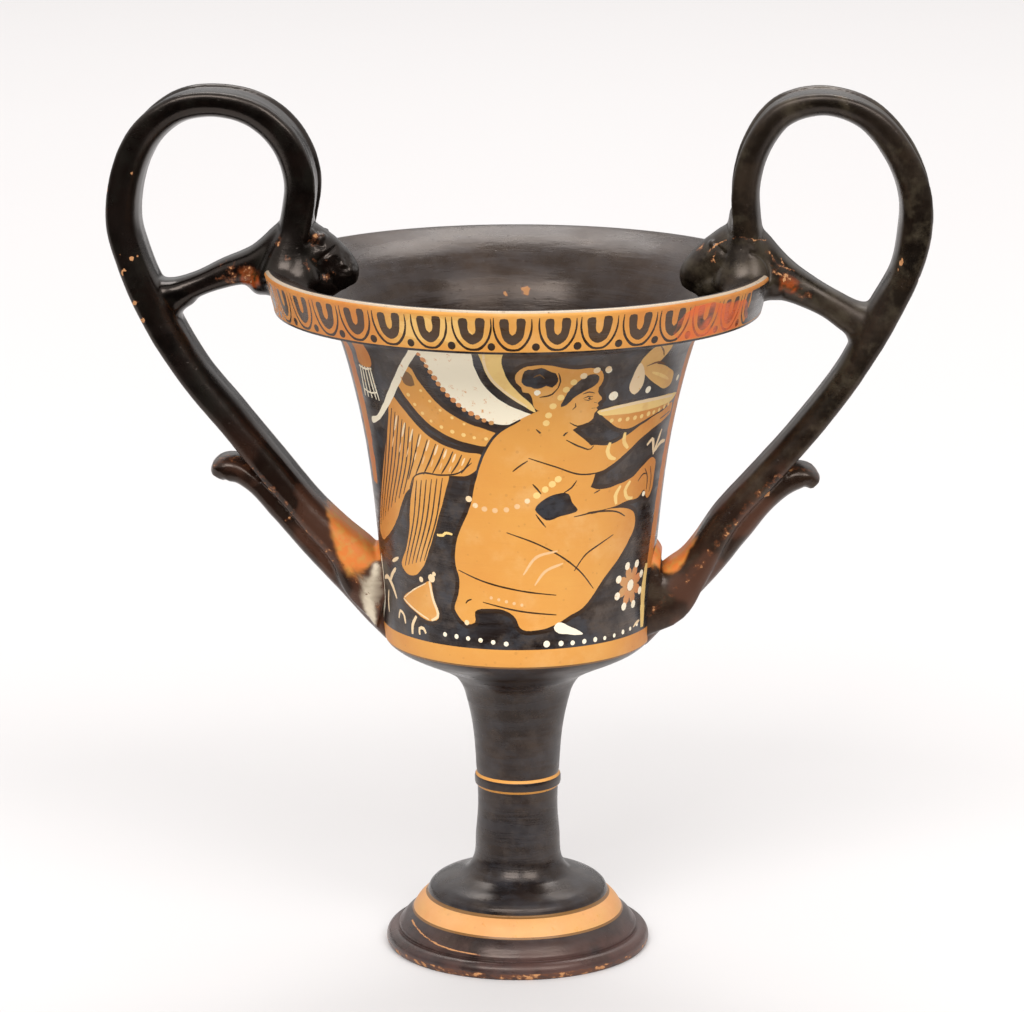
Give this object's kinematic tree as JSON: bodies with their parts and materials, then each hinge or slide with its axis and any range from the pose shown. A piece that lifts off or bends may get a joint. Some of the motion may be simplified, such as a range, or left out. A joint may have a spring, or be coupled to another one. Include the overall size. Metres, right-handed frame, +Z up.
{
  "type": "kantharos",
  "caption": "Painted clay drinking cup with a flared lip, a deep straight bowl on a stemmed stepped foot and high ring handles, each with a strut, a spur and a moulded animal head.",
  "frame": {"origin": "on the axis of the cup, at the height of the resting ring under the foot", "axes": "+Z up along the axis of the cup, handles along +X and -X, the painted picture facing -Y"},
  "size_m": [0.2371, 0.146, 0.2551],
  "materials": {
    "painted_clay": "black gloss over fired orange clay, with a painted picture in orange, white and yellow, worn at the edges"
  },
  "bodies": {
    "root": {"kantharos": "painted_clay"}
  },
  "joints": []
}
